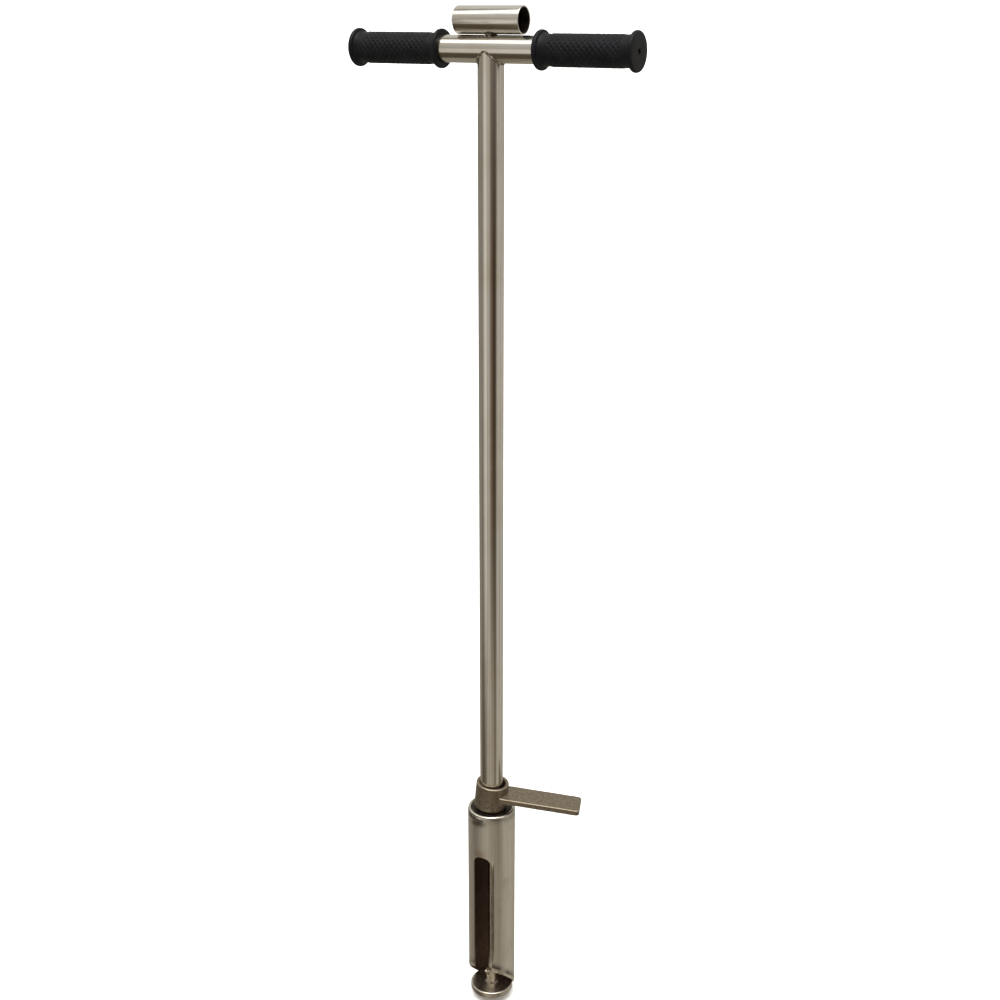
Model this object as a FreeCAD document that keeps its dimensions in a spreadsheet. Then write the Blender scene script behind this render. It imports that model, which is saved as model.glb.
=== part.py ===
import FreeCAD, Part
import os

import Sketcher

# Push-and-twist soil core sampler with a foot pedal and an ejector, in millimetres.
# +Z is up along the tool's axis and the crossbar lies along X. The origin is on that axis,
# level with the lowest point of the barrel's cutting edge.

doc = FreeCAD.newDocument("soil_core_sampler")
sizes = doc.addObject("Spreadsheet::Sheet", "sizes")

DRIVING_SIZES = {
    # crossbar and its grips
    "crossbar_height": 1060.4,
    "crossbar_length": 298,
    "crossbar_radius": 12.7,
    "crossbar_wall": 1.5,
    "grip_length": 100,
    "grip_radius": 14.5,
    "grip_end_wall": 3,
    "grip_vent_radius": 2.5,
    "grip_flange_radius": 18.2,
    "grip_flange_width": 4.5,
    "grip_flange_edge": 1,
    "grip_flare_width": 6.5,
    # shaft
    "shaft_radius": 12.7,
    "shaft_wall": 1.5,
    "shaft_below_cap": 3,
    "shaft_weld_leg": 3,
    "crossbar_bead": 1.8,
    # sample barrel, turned about the axis from square to the crossbar
    "barrel_length": 252,
    "barrel_radius": 26.5,
    "barrel_wall": 2,
    "barrel_turn": 6,
    "cut_angle": 45,
    "window_width": 20.8,
    "window_top": 200.7,
    "window_corner": 7.5,
    "window_bevel_width": 2.6,
    "window_bevel_depth": 1.4,
    "lip_top": 80,
    "lip_foot": 54,
    "lip_width": 2,
    # cap plate
    "cap_thickness": 3,
    "cap_weld_height": 1.5,
    "cap_weld_width": 3.5,
    # guide bushes
    "bush_length": 22,
    "bush_below_crossbar": 1.5,
    # foot pedal
    "pedal_play": 1.75,
    "pedal_touch": 0.3,
    "pedal_wall": 3.7,
    "pedal_height": 29.8,
    "pedal_turn": 23,
    "pedal_reach": 100,
    "pedal_width": 31,
    "pedal_thickness": 6,
    "pedal_plate_rise": 12.85,
    "pedal_corner": 4,
    "pedal_edge": 1.2,
    "pedal_fillet": 2,
    # push handle and rod
    "push_handle_length": 69,
    "push_handle_radius": 12.7,
    "push_handle_wall": 1.2,
    "push_handle_gap": 0.3,
    "push_handle_turn": 2,
    "push_handle_weld_leg": 2,
    "push_handle_weld_drop": 1.2,
    "rod_radius": 4,
    "rod_play": 0.1,
    "rod_hole_play": 0.5,
    "rod_foot_gap": 0.5,
    # ejector disc, its socket and the cross pin
    "disc_foot": 10.1,
    "disc_thickness": 7,
    "disc_play": 0.4,
    "disc_edge": 1.2,
    "disc_weld_leg": 1.1,
    "socket_radius": 6.2,
    "socket_height": 19,
    "pin_radius": 1.6,
    "pin_reach": 7.8,
    "pin_rise": 13,
    "pin_play": 0.3,
    "pin_turn": 211,
    "bayonet_turn": 44,
    # how far a cutting tool runs past what it cuts
    "overrun": 5,
}

# Values that follow from the driving sizes.
CROSSBAR_BORE = "(sizes.crossbar_radius - sizes.crossbar_wall)"
GRIP_OUTER_END = "(sizes.crossbar_length / 2 + sizes.grip_end_wall)"
GRIP_INNER_END = "(sizes.crossbar_length / 2 + sizes.grip_end_wall - sizes.grip_length)"
SHAFT_BORE = "(sizes.shaft_radius - sizes.shaft_wall)"
BARREL_BORE = "(sizes.barrel_radius - sizes.barrel_wall)"
CAP_FOOT = "(sizes.barrel_length - sizes.cap_thickness)"
SHAFT_FOOT = "(sizes.barrel_length - sizes.cap_thickness - sizes.shaft_below_cap)"
BUSH_BORE = "(sizes.rod_radius + sizes.rod_play)"
PEDAL_BORE = "(sizes.shaft_radius + sizes.pedal_play)"
PEDAL_RADIUS = "(sizes.shaft_radius + sizes.pedal_play + sizes.pedal_wall)"
PEDAL_TILT = "atan(2 * (sizes.pedal_play - sizes.pedal_touch) / sizes.pedal_height)"
HANDLE_HEIGHT = (
    "(sizes.crossbar_height + sizes.crossbar_radius + sizes.push_handle_gap"
    " + sizes.push_handle_radius)"
)
HANDLE_BORE = "(sizes.push_handle_radius - sizes.push_handle_wall)"
HANDLE_WELD_RADIUS = "(sizes.rod_radius + sizes.push_handle_weld_leg)"
DISC_TOP = "(sizes.disc_foot + sizes.disc_thickness)"
SOCKET_TOP = "(sizes.disc_foot + sizes.disc_thickness + sizes.socket_height)"
PIN_HEIGHT = "(sizes.disc_foot + sizes.disc_thickness + sizes.pin_rise)"
CHANNEL_HALF = "(sizes.pin_radius + sizes.pin_play)"
TWICE_OVERRUN = "2 * sizes.overrun"


def fill_sheet():
    for row, (name, value) in enumerate(DRIVING_SIZES.items(), start=1):
        sizes.set("A%d" % row, name)
        sizes.set("B%d" % row, str(value))
        sizes.setAlias("B%d" % row, name)
    doc.recompute()


def value_of(expression):
    result = sizes.evalExpression(expression.replace("sizes.", ""))
    return float(getattr(result, "Value", result))


def place(piece, up="0", turn="0", tilt="0"):
    piece.setExpression("Placement", "placement(vector(0; 0; %s); rotation(%s; %s; 0))" % (up, turn, tilt))


# ---------------------------------------------------------------- sketches and features


def new_body(name):
    body = doc.addObject("PartDesign::Body", name)
    body.Label = name
    return body


def new_sketch(body, role, up=None):
    plane = [item for item in body.Origin.OriginFeatures if item.Role == role][0]
    sketch = body.newObject("Sketcher::SketchObject", body.Name + "_sketch")
    sketch.AttachmentSupport = (plane, [""])
    sketch.MapMode = "FlatFace"
    if up:
        sketch.setExpression("AttachmentOffset.Base.z", up)
    return sketch


def add_circle(sketch, radius, across="0", up="0"):
    centre = FreeCAD.Vector(value_of(across), value_of(up), 0)
    circle = sketch.addGeometry(Part.Circle(centre, FreeCAD.Vector(0, 0, 1), value_of(radius)))
    bind(sketch, Sketcher.Constraint("Radius", circle, value_of(radius)), radius)
    bind(sketch, Sketcher.Constraint("DistanceX", -1, 1, circle, 3, value_of(across)), across)
    bind(sketch, Sketcher.Constraint("DistanceY", -1, 1, circle, 3, value_of(up)), up)


def add_outline(sketch, corners):
    # A closed outline of straight edges, with each corner's two distances bound to sizes.
    places = [FreeCAD.Vector(value_of(across), value_of(up), 0) for across, up in corners]
    edges = []
    for start, end in zip(places, places[1:] + places[:1]):
        edges.append(sketch.addGeometry(Part.LineSegment(start, end)))
    for edge, following in zip(edges, edges[1:] + edges[:1]):
        sketch.addConstraint(Sketcher.Constraint("Coincident", edge, 2, following, 1))
    for edge, (across, up) in zip(edges, corners):
        bind(sketch, Sketcher.Constraint("DistanceX", -1, 1, edge, 1, value_of(across)), across)
        bind(sketch, Sketcher.Constraint("DistanceY", -1, 1, edge, 1, value_of(up)), up)


def bind(sketch, constraint, expression):
    index = sketch.addConstraint(constraint)
    if "sizes." in expression:
        sketch.setExpression("Constraints[%d]" % index, expression)


def pad(body, sketch, length, both_ways=False):
    feature = body.newObject("PartDesign::Pad", body.Name + "_pad")
    feature.Profile = sketch
    feature.setExpression("Length", length)
    feature.SideType = "Symmetric" if both_ways else "One side"
    doc.recompute()
    return feature


def pocket(body, sketch, length, both_ways=False, reverse=False):
    before = body.Shape.Volume
    feature = body.newObject("PartDesign::Pocket", body.Name + "_pocket")
    feature.Profile = sketch
    feature.setExpression("Length", length)
    feature.SideType = "Symmetric" if both_ways else "One side"
    feature.Reversed = reverse
    doc.recompute()
    if body.Shape.Volume > before - 1:
        raise ValueError("a pocket in %s cuts nothing" % body.Label)
    return feature


def revolve(body, sketch, axis):
    feature = body.newObject("PartDesign::Revolution", body.Name + "_revolution")
    feature.Profile = sketch
    feature.ReferenceAxis = (sketch, [axis])
    feature.Angle = 360
    doc.recompute()
    return feature


def fillet(body, radius, wanted):
    # Rounds each edge of the body's last feature that the wanted() test picks.
    base = body.Tip
    names = ["Edge%d" % (i + 1) for i, edge in enumerate(base.Shape.Edges) if wanted(edge)]
    feature = body.newObject("PartDesign::Fillet", body.Name + "_fillet")
    feature.Base = (base, names)
    feature.setExpression("Radius", radius)
    doc.recompute()
    return feature


def ring_body(name, outer, inner, foot, length):
    body = new_body(name)
    sketch = new_sketch(body, "XY_Plane")
    add_circle(sketch, outer)
    add_circle(sketch, inner)
    pad(body, sketch, length)
    place(body, foot)
    return body


def turned_body(name, corners):
    # A solid of revolution about Z from an outline of (radius, height) corners.
    body = new_body(name)
    sketch = new_sketch(body, "XZ_Plane")
    add_outline(sketch, corners)
    revolve(body, sketch, "V_Axis")
    return body


# ---------------------------------------------------------------- primitives and booleans


def cylinder(name, radius, foot, height):
    solid = doc.addObject("Part::Cylinder", name)
    solid.setExpression("Radius", radius)
    solid.setExpression("Height", height)
    place(solid, foot)
    return solid


def level_cylinder(name, radius, half_length, up, turn="0"):
    # A cylinder lying level, centred on the tool's axis; at no turn it lies along X.
    solid = doc.addObject("Part::Cylinder", name)
    solid.setExpression("Radius", radius)
    solid.setExpression("Height", "2 * " + half_length)
    back = "rotation(%s; 90; 0) * vector(0; 0; -%s)" % (turn, half_length)
    spot = "vector(0; 0; %s) + %s" % (up, back)
    solid.setExpression("Placement", "placement(%s; rotation(%s; 90; 0))" % (spot, turn))
    return solid


def cut(name, base, tool):
    result = doc.addObject("Part::Cut", name)
    result.Label = name
    result.Base = base
    result.Tool = tool
    return result


def common(name, first, second):
    result = doc.addObject("Part::Common", name)
    result.Base = first
    result.Tool = second
    return result


# ---------------------------------------------------------------- crossbar and grips


def make_crossbar_tube():
    body = new_body("crossbar_tube")
    section = new_sketch(body, "YZ_Plane")
    add_circle(section, "sizes.crossbar_radius")
    add_circle(section, CROSSBAR_BORE)
    pad(body, section, "sizes.crossbar_length", both_ways=True)
    # The lower hole clears the rod, and the upper one also clears the bead under the push handle.
    lower_hole = new_sketch(body, "XY_Plane")
    add_circle(lower_hole, "sizes.rod_radius + sizes.rod_hole_play")
    pocket(body, lower_hole, "sizes.crossbar_radius + sizes.overrun")
    upper_hole = new_sketch(body, "XY_Plane")
    add_circle(upper_hole, HANDLE_WELD_RADIUS + " + sizes.rod_hole_play")
    pocket(body, upper_hole, "sizes.crossbar_radius + sizes.overrun", reverse=True)
    place(body, "sizes.crossbar_height")
    return body


def make_grip(name, turn):
    # Closed at the outer end, with a small vent hole, and flared into a flange at both ends.
    flange = "sizes.grip_flange_radius"
    edge = "sizes.grip_flange_edge"
    inner_rim = GRIP_INNER_END + " + sizes.grip_flange_width"
    outer_rim = GRIP_OUTER_END + " - sizes.grip_flange_width"
    body = new_body(name)
    sketch = new_sketch(body, "XZ_Plane")
    add_outline(sketch, [
        (GRIP_INNER_END, "sizes.crossbar_radius"),
        (GRIP_INNER_END, flange + " - " + edge),
        (GRIP_INNER_END + " + " + edge, flange),
        (inner_rim + " - " + edge, flange),
        (inner_rim, flange + " - " + edge),
        (inner_rim + " + sizes.grip_flare_width", "sizes.grip_radius"),
        (outer_rim + " - sizes.grip_flare_width", "sizes.grip_radius"),
        (outer_rim, flange + " - " + edge),
        (outer_rim + " + " + edge, flange),
        (GRIP_OUTER_END + " - " + edge, flange),
        (GRIP_OUTER_END, flange + " - " + edge),
        (GRIP_OUTER_END, "sizes.grip_vent_radius"),
        ("sizes.crossbar_length / 2", "sizes.grip_vent_radius"),
        ("sizes.crossbar_length / 2", "sizes.crossbar_radius"),
    ])
    revolve(body, sketch, "H_Axis")
    place(body, "sizes.crossbar_height", turn)
    return body


# ---------------------------------------------------------------- shaft


def make_shaft_tube():
    length = "(sizes.crossbar_height - %s)" % SHAFT_FOOT
    body = ring_body("shaft_tube", "sizes.shaft_radius", SHAFT_BORE, SHAFT_FOOT, length)
    cope = new_sketch(body, "YZ_Plane")
    add_circle(cope, "sizes.crossbar_radius", up=length)
    pocket(body, cope, "2 * sizes.shaft_radius + " + TWICE_OVERRUN, both_ways=True)
    return body


def make_crossbar_weld():
    # The bead fills the corner between the coped shaft and the underside of the crossbar.
    shaft_reach = "(sizes.shaft_radius + sizes.crossbar_bead)"
    bar_reach = "(sizes.crossbar_radius + sizes.crossbar_bead)"
    foot = "sizes.crossbar_height - %s - sizes.overrun" % bar_reach
    height = "%s + sizes.overrun" % bar_reach
    around_shaft = cylinder("weld_around_shaft", shaft_reach, foot, height)
    around_bar = level_cylinder("weld_around_bar", bar_reach, shaft_reach, "sizes.crossbar_height")
    shaft = cylinder("weld_shaft", "sizes.shaft_radius", foot, height)
    bar = level_cylinder("weld_bar", "sizes.crossbar_radius", "2 * " + shaft_reach, "sizes.crossbar_height")
    block = common("weld_block", around_shaft, around_bar)
    return cut("crossbar_weld", cut("weld_outside_shaft", block, shaft), bar)


def make_guide_bush(name, foot):
    return ring_body(name, SHAFT_BORE, BUSH_BORE, foot, "sizes.bush_length")


# ---------------------------------------------------------------- barrel and cap


def make_sample_barrel():
    body = ring_body("sample_barrel", "sizes.barrel_radius", BARREL_BORE, "0", "sizes.barrel_length")
    cut_mouth(body)
    cut_window(body)
    cut_window_bevel(body)
    place(body, turn="sizes.barrel_turn")
    return body


def cut_mouth(body):
    # One oblique plane: the point is at the back and the window side is the short one.
    reach = "(sizes.barrel_radius + sizes.overrun)"
    slope = "tan(sizes.cut_angle)"
    mouth = new_sketch(body, "YZ_Plane")
    add_outline(mouth, [
        ("-" + reach, "(sizes.barrel_radius + %s) * %s" % (reach, slope)),
        (reach, "-sizes.overrun * " + slope),
        ("-" + reach, "-sizes.overrun * " + slope),
    ])
    pocket(body, mouth, "2 * " + reach, both_ways=True)


def cut_window(body):
    # Open at the mouth; near it the right-hand side comes in to a narrow lip.
    side = "sizes.window_width / 2"
    lip_side = side + " - sizes.lip_width"
    window = new_sketch(body, "XZ_Plane")
    add_outline(window, [
        ("-" + side, "-sizes.overrun"),
        ("-" + side, "sizes.window_top"),
        (side, "sizes.window_top"),
        (side, "sizes.lip_top"),
        (lip_side, "sizes.lip_foot"),
        (lip_side, "-sizes.overrun"),
    ])
    pocket(body, window, "sizes.barrel_radius + sizes.overrun", reverse=True)
    side_value = value_of(side)
    top_value = value_of("sizes.window_top")
    fillet(body, "sizes.window_corner", lambda edge: is_window_corner(edge, side_value, top_value))


def is_window_corner(edge, side, top):
    # The two short edges through the wall at the window's upper corners.
    ends = [vertex.Point for vertex in edge.Vertexes]
    at_corner = all(abs(abs(end.x) - side) < 1e-4 and abs(end.z - top) < 1e-4 for end in ends)
    return at_corner and abs(ends[0].x - ends[-1].x) < 1e-4


def cut_window_bevel(body):
    # A long ground bevel along the outside of the window's right-hand side.
    side = "sizes.window_width / 2"
    side_depth = "sqrt(sizes.barrel_radius ^ 2 - (%s) ^ 2)" % side
    bevel_angle = "1 rad * sizes.window_bevel_width / sizes.barrel_radius"
    outer_angle = "(asin(%s / sizes.barrel_radius) + %s)" % (side, bevel_angle)
    outer_across = "sizes.barrel_radius * sin(%s)" % outer_angle
    outside = "-(sizes.barrel_radius + sizes.overrun)"
    bevel = new_sketch(body, "XY_Plane", "sizes.lip_top")
    add_outline(bevel, [
        (side, "sizes.window_bevel_depth - " + side_depth),
        (outer_across, "-sizes.barrel_radius * cos(%s)" % outer_angle),
        (outer_across, outside),
        (side, outside),
    ])
    length = "sizes.window_top - sizes.window_corner - sizes.lip_top"
    pocket(body, bevel, length, reverse=True)


def make_barrel_cap():
    return ring_body("barrel_cap", BARREL_BORE, "sizes.shaft_radius", CAP_FOOT, "sizes.cap_thickness")


def make_barrel_cap_weld():
    # A ground ring over the end of the barrel's wall, lower towards the middle.
    inner = "(sizes.barrel_radius - sizes.cap_weld_width)"
    foot = "sizes.barrel_length"
    return turned_body("barrel_cap_weld", [
        (inner, foot),
        ("sizes.barrel_radius", foot),
        ("sizes.barrel_radius", foot + " + sizes.cap_weld_height * 0.3"),
        ("sizes.barrel_radius - sizes.cap_weld_width * 0.12", foot + " + sizes.cap_weld_height * 0.75"),
        ("sizes.barrel_radius - sizes.cap_weld_width * 0.35", foot + " + sizes.cap_weld_height"),
        (inner + " + sizes.cap_weld_width * 0.3", foot + " + sizes.cap_weld_height * 0.8"),
        (inner, foot + " + sizes.cap_weld_height * 0.25"),
    ])


def make_shaft_weld():
    return turned_body("shaft_weld", [
        ("sizes.shaft_radius", CAP_FOOT),
        ("sizes.shaft_radius", CAP_FOOT + " - sizes.shaft_weld_leg"),
        ("sizes.shaft_radius + sizes.shaft_weld_leg", CAP_FOOT),
    ])


# ---------------------------------------------------------------- foot pedal


def make_foot_pedal():
    # A loose cast collar with a flat foot plate. Its own weight tips it until the bore touches
    # the shaft at top and bottom, so it hangs a few degrees down at the plate's end.
    half_height = "sizes.pedal_height / 2"
    body = new_body("foot_pedal")
    collar = new_sketch(body, "XY_Plane")
    add_circle(collar, PEDAL_RADIUS)
    pad(body, collar, "sizes.pedal_height", both_ways=True)
    plate = new_sketch(body, "XY_Plane", "sizes.pedal_plate_rise - " + half_height)
    add_outline(plate, [
        ("0", "-sizes.pedal_width / 2"),
        ("sizes.pedal_reach", "-sizes.pedal_width / 2"),
        ("sizes.pedal_reach", "sizes.pedal_width / 2"),
        ("0", "sizes.pedal_width / 2"),
    ])
    pad(body, plate, "sizes.pedal_thickness")
    reach = value_of("sizes.pedal_reach")
    fillet(body, "sizes.pedal_corner", lambda edge: is_plate_corner(edge, reach))
    radius = value_of(PEDAL_RADIUS)
    half = value_of(half_height)
    fillet(body, "sizes.pedal_edge", lambda edge: is_plate_tip(edge, reach))
    fillet(body, "sizes.pedal_fillet", lambda edge: is_plate_root(edge, radius, half))
    bore = new_sketch(body, "XY_Plane")
    add_circle(bore, PEDAL_BORE)
    pocket(body, bore, "sizes.pedal_height + " + TWICE_OVERRUN, both_ways=True)
    fillet(body, "sizes.pedal_edge", lambda edge: is_collar_rim(edge, radius, half))
    drop = "%s * sin(%s)" % (PEDAL_RADIUS, PEDAL_TILT)
    rise = "%s * cos(%s)" % (half_height, PEDAL_TILT)
    foot = "sizes.barrel_length + sizes.pedal_touch"
    place(body, "%s + %s + %s" % (foot, drop, rise), "sizes.pedal_turn", PEDAL_TILT)
    return body


def is_plate_corner(edge, reach):
    ends = [vertex.Point for vertex in edge.Vertexes]
    return all(abs(end.x - reach) < 1e-4 for end in ends) and abs(ends[0].y - ends[1].y) < 1e-4


def is_plate_root(edge, radius, half):
    # The level edges where the plate's two flat faces meet the collar.
    ends = [vertex.Point for vertex in edge.Vertexes]
    on_collar = all(abs((end.x ** 2 + end.y ** 2) ** 0.5 - radius) < 1e-4 for end in ends)
    level = edge.BoundBox.ZLength < 1e-4
    return on_collar and level and abs(edge.BoundBox.ZMin) < half - 1e-3


def is_collar_rim(edge, radius, half):
    on_collar = abs(edge.BoundBox.YMax - radius) < 1e-3 and abs(edge.BoundBox.YMin + radius) < 1e-3
    return on_collar and abs(abs(edge.BoundBox.ZMin) - half) < 1e-3 and edge.BoundBox.ZLength < 1e-3


def is_plate_tip(edge, reach):
    # The level edge round the end of the plate; the fillet runs on round its outline.
    box = edge.BoundBox
    return box.XMin > reach - 1e-3 and box.ZLength < 1e-3 and box.YLength > 1


# ---------------------------------------------------------------- push handle and rod


def make_push_handle():
    body = new_body("push_handle")
    section = new_sketch(body, "YZ_Plane")
    add_circle(section, "sizes.push_handle_radius")
    add_circle(section, HANDLE_BORE)
    pad(body, section, "sizes.push_handle_length", both_ways=True)
    hole = new_sketch(body, "XY_Plane")
    add_circle(hole, "sizes.rod_radius")
    pocket(body, hole, "sizes.push_handle_radius + sizes.overrun")
    place(body, HANDLE_HEIGHT, "sizes.push_handle_turn")
    return body


def make_push_handle_weld():
    # A bead round the rod, against the handle's curved underside.
    half_length = "sizes.push_handle_length / 2"
    underside = "(%s - sizes.push_handle_radius)" % HANDLE_HEIGHT
    foot = underside + " - sizes.push_handle_weld_drop"
    height = "sizes.push_handle_weld_drop + " + HANDLE_WELD_RADIUS
    blank = cylinder("bead_blank", HANDLE_WELD_RADIUS, foot, height)
    handle = level_cylinder(
        "bead_handle", "sizes.push_handle_radius", half_length, HANDLE_HEIGHT, "sizes.push_handle_turn"
    )
    rod = cylinder("bead_rod", "sizes.rod_radius", foot, height)
    return cut("push_handle_weld", cut("bead_below_handle", blank, handle), rod)


def make_push_rod():
    foot = "(%s + sizes.rod_foot_gap)" % DISC_TOP
    top = "(%s - %s)" % (HANDLE_HEIGHT, HANDLE_BORE)
    rod = cylinder("rod_blank", "sizes.rod_radius", foot, "%s - %s" % (top, foot))
    reach = "(sizes.rod_radius + sizes.overrun)"
    hole = level_cylinder("rod_cross_hole", "sizes.pin_radius", reach, PIN_HEIGHT, "sizes.pin_turn")
    return cut("push_rod", rod, hole)


def make_bayonet_pin():
    pin = level_cylinder(
        "bayonet_pin", "sizes.pin_radius", "sizes.pin_reach", PIN_HEIGHT, "sizes.pin_turn"
    )
    pin.Label = "bayonet_pin"
    return pin


# ---------------------------------------------------------------- ejector disc


def make_ejector_disc():
    outer = "(%s - sizes.disc_play)" % BARREL_BORE
    edge = "sizes.disc_edge"
    return turned_body("ejector_disc", [
        ("0", "sizes.disc_foot"),
        (outer + " - " + edge, "sizes.disc_foot"),
        (outer, "sizes.disc_foot + " + edge),
        (outer, DISC_TOP + " - " + edge),
        (outer + " - " + edge, DISC_TOP),
        ("0", DISC_TOP),
    ])


def make_disc_socket():
    # Two L-shaped slots, half a turn apart: the pin drops down a channel and turns into a ledge.
    blank = cylinder("socket_blank", "sizes.socket_radius", DISC_TOP, "sizes.socket_height")
    bore = cylinder("socket_bore", BUSH_BORE, DISC_TOP, "sizes.socket_height + sizes.overrun")
    socket = cut("socket_tube", blank, bore)
    channel = doc.addObject("Part::Box", "socket_channel")
    channel.setExpression("Length", "2 * (sizes.socket_radius + sizes.overrun)")
    channel.setExpression("Width", "2 * " + CHANNEL_HALF)
    channel.setExpression("Height", "sizes.socket_height")
    turn = "rotation(sizes.pin_turn + sizes.bayonet_turn; 0; 0)"
    corner = "vector(-sizes.socket_radius - sizes.overrun; -%s; 0)" % CHANNEL_HALF
    foot = "vector(0; 0; %s - %s)" % (PIN_HEIGHT, CHANNEL_HALF)
    channel.setExpression("Placement", "placement(%s + %s * %s; %s)" % (foot, turn, corner, turn))
    socket = cut("socket_with_channels", socket, channel)
    socket = cut("socket_with_ledge", socket, make_ledge("first_ledge", "0"))
    return cut("disc_socket", socket, make_ledge("second_ledge", "180"))


def make_ledge(name, side):
    half_angle = "asin(%s / %s)" % (CHANNEL_HALF, BUSH_BORE)
    ledge = cylinder(name, "sizes.socket_radius + sizes.overrun", "0", "2 * " + CHANNEL_HALF)
    ledge.setExpression("Angle", "sizes.bayonet_turn * 1 deg + " + half_angle)
    start = "(sizes.pin_turn + %s) * 1 deg - %s" % (side, half_angle)
    place(ledge, "%s - %s" % (PIN_HEIGHT, CHANNEL_HALF), start)
    return ledge


def make_disc_weld():
    return turned_body("disc_weld", [
        ("sizes.socket_radius", DISC_TOP),
        ("sizes.socket_radius + sizes.disc_weld_leg", DISC_TOP),
        ("sizes.socket_radius", DISC_TOP + " + sizes.disc_weld_leg"),
    ])


# ---------------------------------------------------------------- whole tool


def make_pieces():
    crossbar_foot = "sizes.crossbar_height - sizes.crossbar_radius"
    upper_bush_foot = crossbar_foot + " - sizes.bush_below_crossbar - sizes.bush_length"
    return [
        make_crossbar_tube(),
        make_grip("right_grip", "0"),
        make_grip("left_grip", "180"),
        make_shaft_tube(),
        make_crossbar_weld(),
        make_guide_bush("upper_guide_bush", upper_bush_foot),
        make_guide_bush("lower_guide_bush", SHAFT_FOOT),
        make_sample_barrel(),
        make_barrel_cap(),
        make_barrel_cap_weld(),
        make_shaft_weld(),
        make_foot_pedal(),
        make_push_handle(),
        make_push_handle_weld(),
        make_push_rod(),
        make_bayonet_pin(),
        make_ejector_disc(),
        make_disc_socket(),
        make_disc_weld(),
    ]


def check_pieces(pieces):
    for item in doc.Objects:
        if "Invalid" in item.State or "Error" in item.State:
            raise ValueError("%s failed: %s" % (item.Label, item.State))
    for piece in pieces:
        # The crossbar's bead is two solids, one each side, where the shaft is wider than the crossbar.
        shape = piece.Shape
        most = 2 if piece.Label == "crossbar_weld" else 1
        if shape.isNull() or not shape.isValid() or not 1 <= len(shape.Solids) <= most:
            raise ValueError("%s is not a valid solid" % piece.Label)


def main():
    fill_sheet()
    pieces = make_pieces()
    doc.recompute()
    check_pieces(pieces)
    os.makedirs("parts", exist_ok=True)
    for piece in pieces:
        piece.Shape.exportStep("parts/%s.step" % piece.Label)
        print("%-18s %10.1f mm3" % (piece.Label, piece.Shape.Volume))


main()
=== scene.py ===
import math

import bmesh
import bpy
from mathutils import Matrix, Vector, noise


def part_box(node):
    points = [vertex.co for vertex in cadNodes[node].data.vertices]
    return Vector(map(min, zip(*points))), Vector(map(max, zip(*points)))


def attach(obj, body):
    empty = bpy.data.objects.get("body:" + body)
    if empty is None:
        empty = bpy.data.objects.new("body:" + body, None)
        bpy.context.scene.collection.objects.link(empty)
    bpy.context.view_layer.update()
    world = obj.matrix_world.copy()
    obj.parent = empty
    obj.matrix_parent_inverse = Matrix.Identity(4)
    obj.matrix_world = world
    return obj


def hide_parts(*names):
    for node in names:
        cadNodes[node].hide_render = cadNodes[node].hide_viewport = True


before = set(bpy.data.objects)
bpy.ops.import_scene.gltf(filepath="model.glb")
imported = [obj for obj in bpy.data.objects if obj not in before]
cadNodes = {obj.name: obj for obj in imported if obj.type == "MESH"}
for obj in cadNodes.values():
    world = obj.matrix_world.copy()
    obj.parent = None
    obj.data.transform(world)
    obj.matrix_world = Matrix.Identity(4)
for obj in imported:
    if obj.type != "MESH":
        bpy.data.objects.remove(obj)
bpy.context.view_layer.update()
mm = 0.001


def linearColour(hexColour):
    channels = [int(hexColour[i:i + 2], 16) / 255 for i in (1, 3, 5)]
    linear = [c / 12.92 if c <= 0.04045 else ((c + 0.055) / 1.055) ** 2.4 for c in channels]
    return (*linear, 1.0)


def addNode(tree, kind, values=None):
    # small-letter names are settings, all others are inputs; a node as a value stands for its first output
    node = tree.nodes.new(kind)
    for name, value in (values or {}).items():
        if isinstance(value, bpy.types.Node):
            value = value.outputs[0]
        if isinstance(name, str) and name[0].islower():
            setattr(node, name, value)
        elif isinstance(value, bpy.types.NodeSocket):
            tree.links.new(value, node.inputs[name])
        else:
            node.inputs[name].default_value = value
    return node


def setRamp(node, stops):
    ramp = node.color_ramp
    while len(ramp.elements) > 1:
        ramp.elements.remove(ramp.elements[-1])
    ramp.elements[0].position = stops[0][0]
    ramp.elements[0].color = linearColour(stops[0][1])
    for position, hexColour in stops[1:]:
        ramp.elements.new(position).color = linearColour(hexColour)
    return node


def newMaterial(name):
    # an empty material, its tree, and the object coordinates for its patterns
    material = bpy.data.materials.new(name)
    material.use_nodes = True
    tree = material.node_tree
    tree.nodes.clear()
    return material, tree, addNode(tree, "ShaderNodeTexCoord").outputs["Object"]


def newObject(name, data):
    made = bpy.data.objects.new(name, data)
    bpy.context.scene.collection.objects.link(made)
    return made


def newPiece(name, points, faces, material, sharpAngle=35):
    mesh = bpy.data.meshes.new(name)
    mesh.from_pydata([tuple(p) for p in points], [], faces)
    shell = bmesh.new()
    shell.from_mesh(mesh)
    bmesh.ops.remove_doubles(shell, verts=shell.verts, dist=1e-6)
    bmesh.ops.recalc_face_normals(shell, faces=shell.faces)
    shell.to_mesh(mesh)
    shell.free()
    mesh.polygons.foreach_set("use_smooth", [True] * len(mesh.polygons))
    mesh.set_sharp_from_angle(angle=math.radians(sharpAngle))
    mesh.materials.append(material)
    return newObject(name, mesh)


def joinBody(piece, body, node):
    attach(piece, body)
    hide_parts(node)


def roundedOutline(corners, steps=5):
    # corners are (radius, height, rounding) and the outline is closed
    outline = []
    for i, (radius, height, rounding) in enumerate(corners):
        here = Vector((radius, height))
        before = Vector(corners[i - 1][:2])
        after = Vector(corners[(i + 1) % len(corners)][:2])
        if rounding <= 0:
            outline.append(here)
            continue
        toBefore, toAfter = (before - here).normalized(), (after - here).normalized()
        for step in range(steps + 1):
            t = step / steps
            start, end = here + toBefore * rounding, here + toAfter * rounding
            outline.append(start * (1 - t) ** 2 + here * 2 * t * (1 - t) + end * t ** 2)
    return outline


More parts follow.
